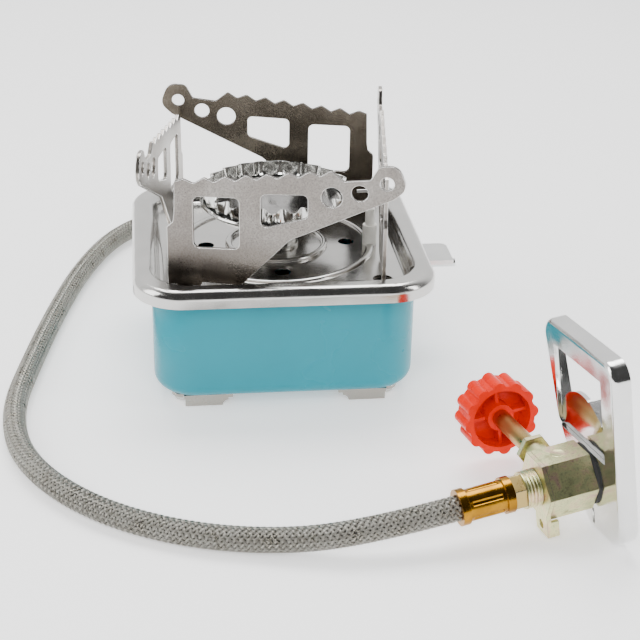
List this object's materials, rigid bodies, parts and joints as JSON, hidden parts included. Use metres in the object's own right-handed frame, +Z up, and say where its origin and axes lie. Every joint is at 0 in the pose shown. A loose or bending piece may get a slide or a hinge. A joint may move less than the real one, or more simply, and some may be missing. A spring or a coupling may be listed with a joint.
{
  "type": "camping stove",
  "caption": "Compact folding gas stove: square blue casing, swinging serrated pot supports, braided hose and a remote cartridge valve on a stand plate.",
  "frame": {"origin": "on the ground under the middle of the square casing, between the four legs", "axes": "+Z up, -Y towards the front, +X towards the igniter lever's side"},
  "size_m": [0.1664, 0.2376, 0.0791],
  "materials": {
    "polished_steel": "mirror polished stainless sheet",
    "satin_steel": "satin, grainy stainless sheet",
    "blue_enamel": "gloss sky blue enamel",
    "zinc_steel": "bright zinc plated",
    "olive_zinc": "olive iridescent passivated zinc",
    "brass": "machined",
    "gold_brass": "bright, pressed",
    "braided_hose": "rubber tube under a stainless wire braid",
    "orange_plastic": "moulded, glossy",
    "ceramic": "white glazed ceramic",
    "black_plastic": "matte",
    "black_rubber": "matte",
    "spring_steel": "drawn wire"
  },
  "bodies": {
    "stove": {"top_tray": "polished_steel", "casing": "blue_enamel", "mixing_tube": "brass", "collar_nut": "zinc_steel", "burner_bowl": "polished_steel", "flame_ring": "polished_steel", "burner_dish": "polished_steel", "jet_holder": "brass", "gas_jet": "brass", "inner_gas_pipe": "brass", "inlet_union": "brass", "inlet_lock_nut": "brass", "gas_hose": "braided_hose", "hose_sleeve_stove": "gold_brass", "leg_screws": "zinc_steel", "piezo_block": "black_plastic", "lever_axle_pin": "zinc_steel", "lever_spring": "spring_steel", "electrode_collet": "ceramic", "electrode_ceramic": "ceramic", "spark_wire": "spring_steel", "igniter_lead": "black_rubber", "valve_body": "olive_zinc", "plate_gasket": "black_rubber", "port_seal": "black_rubber", "valve_pin_depressor": "brass", "bonnet_nut": "olive_zinc", "hose_nut": "brass", "hose_sleeve_valve": "gold_brass", "retaining_bracket": "olive_zinc", "stand_plate": "polished_steel", "cartridge_collar_disc": "polished_steel"},
    "igniter": {"igniter_lever": "polished_steel"},
    "valve_control": {"valve_stem": "brass", "stem_seal": "black_rubber", "valve_knob": "orange_plastic"},
    "support_front": {"pot_support_front": "satin_steel", "support_clip_front": "zinc_steel"},
    "support_right": {"pot_support_right": "satin_steel", "support_clip_right": "zinc_steel"},
    "support_rear": {"pot_support_rear": "satin_steel", "support_clip_rear": "zinc_steel"},
    "support_left": {"pot_support_left": "satin_steel", "support_clip_left": "zinc_steel"},
    "leg_front_left": {"leg_front_left": "polished_steel"},
    "leg_front_right": {"leg_front_right": "polished_steel"},
    "leg_rear_right": {"leg_rear_right": "polished_steel"},
    "leg_rear_left": {"leg_rear_left": "polished_steel"}
  },
  "joints": [
    {"name": "support_front_swing", "type": "hinge", "parent": "stove", "child": "support_front", "pos_m": [-0.0295, -0.0295, 0.0377], "axis": [0, 0, -1], "range_deg": [-8.9, 9.6]},
    {"name": "support_right_swing", "type": "hinge", "parent": "stove", "child": "support_right", "pos_m": [0.0295, -0.0295, 0.0377], "axis": [0, 0, -1], "range_deg": [0, 18.5]},
    {"name": "support_rear_swing", "type": "hinge", "parent": "stove", "child": "support_rear", "pos_m": [0.0295, 0.0295, 0.0377], "axis": [0, 0, -1], "range_deg": [0, 18.5]},
    {"name": "support_left_swing", "type": "hinge", "parent": "stove", "child": "support_left", "pos_m": [-0.0295, 0.0295, 0.0377], "axis": [0, 0, -1], "range_deg": [-5.2, 13.3]},
    {"name": "leg_front_left_swing", "type": "hinge", "parent": "stove", "child": "leg_front_left", "pos_m": [-0.031, -0.031, 0.0032], "axis": [0, 0, -1], "range_deg": [0, 135]},
    {"name": "leg_front_right_swing", "type": "hinge", "parent": "stove", "child": "leg_front_right", "pos_m": [0.031, -0.031, 0.0032], "axis": [0, 0, 1], "range_deg": [0, 135]},
    {"name": "leg_rear_right_swing", "type": "hinge", "parent": "stove", "child": "leg_rear_right", "pos_m": [0.031, 0.031, 0.0032], "axis": [0, 0, -1], "range_deg": [0, 135]},
    {"name": "leg_rear_left_swing", "type": "hinge", "parent": "stove", "child": "leg_rear_left", "pos_m": [-0.031, 0.031, 0.0032], "axis": [0, 0, 1], "range_deg": [0, 135]},
    {"name": "igniter_press", "type": "hinge", "parent": "stove", "child": "igniter", "pos_m": [0.0275, 0, 0.032], "axis": [0, 1, 0], "range_deg": [0, 12], "stiffness_Nm_per_rad": 0.05, "springref_deg": -5.73, "deforming": ["lever_spring"]},
    {"name": "valve_turn", "type": "hinge", "parent": "stove", "child": "valve_control", "pos_m": [0.06193, -0.10961, 0.01883], "axis": [-0.1797, 0.9799, -0.0865], "range_deg": [0, 540]}
  ]
}
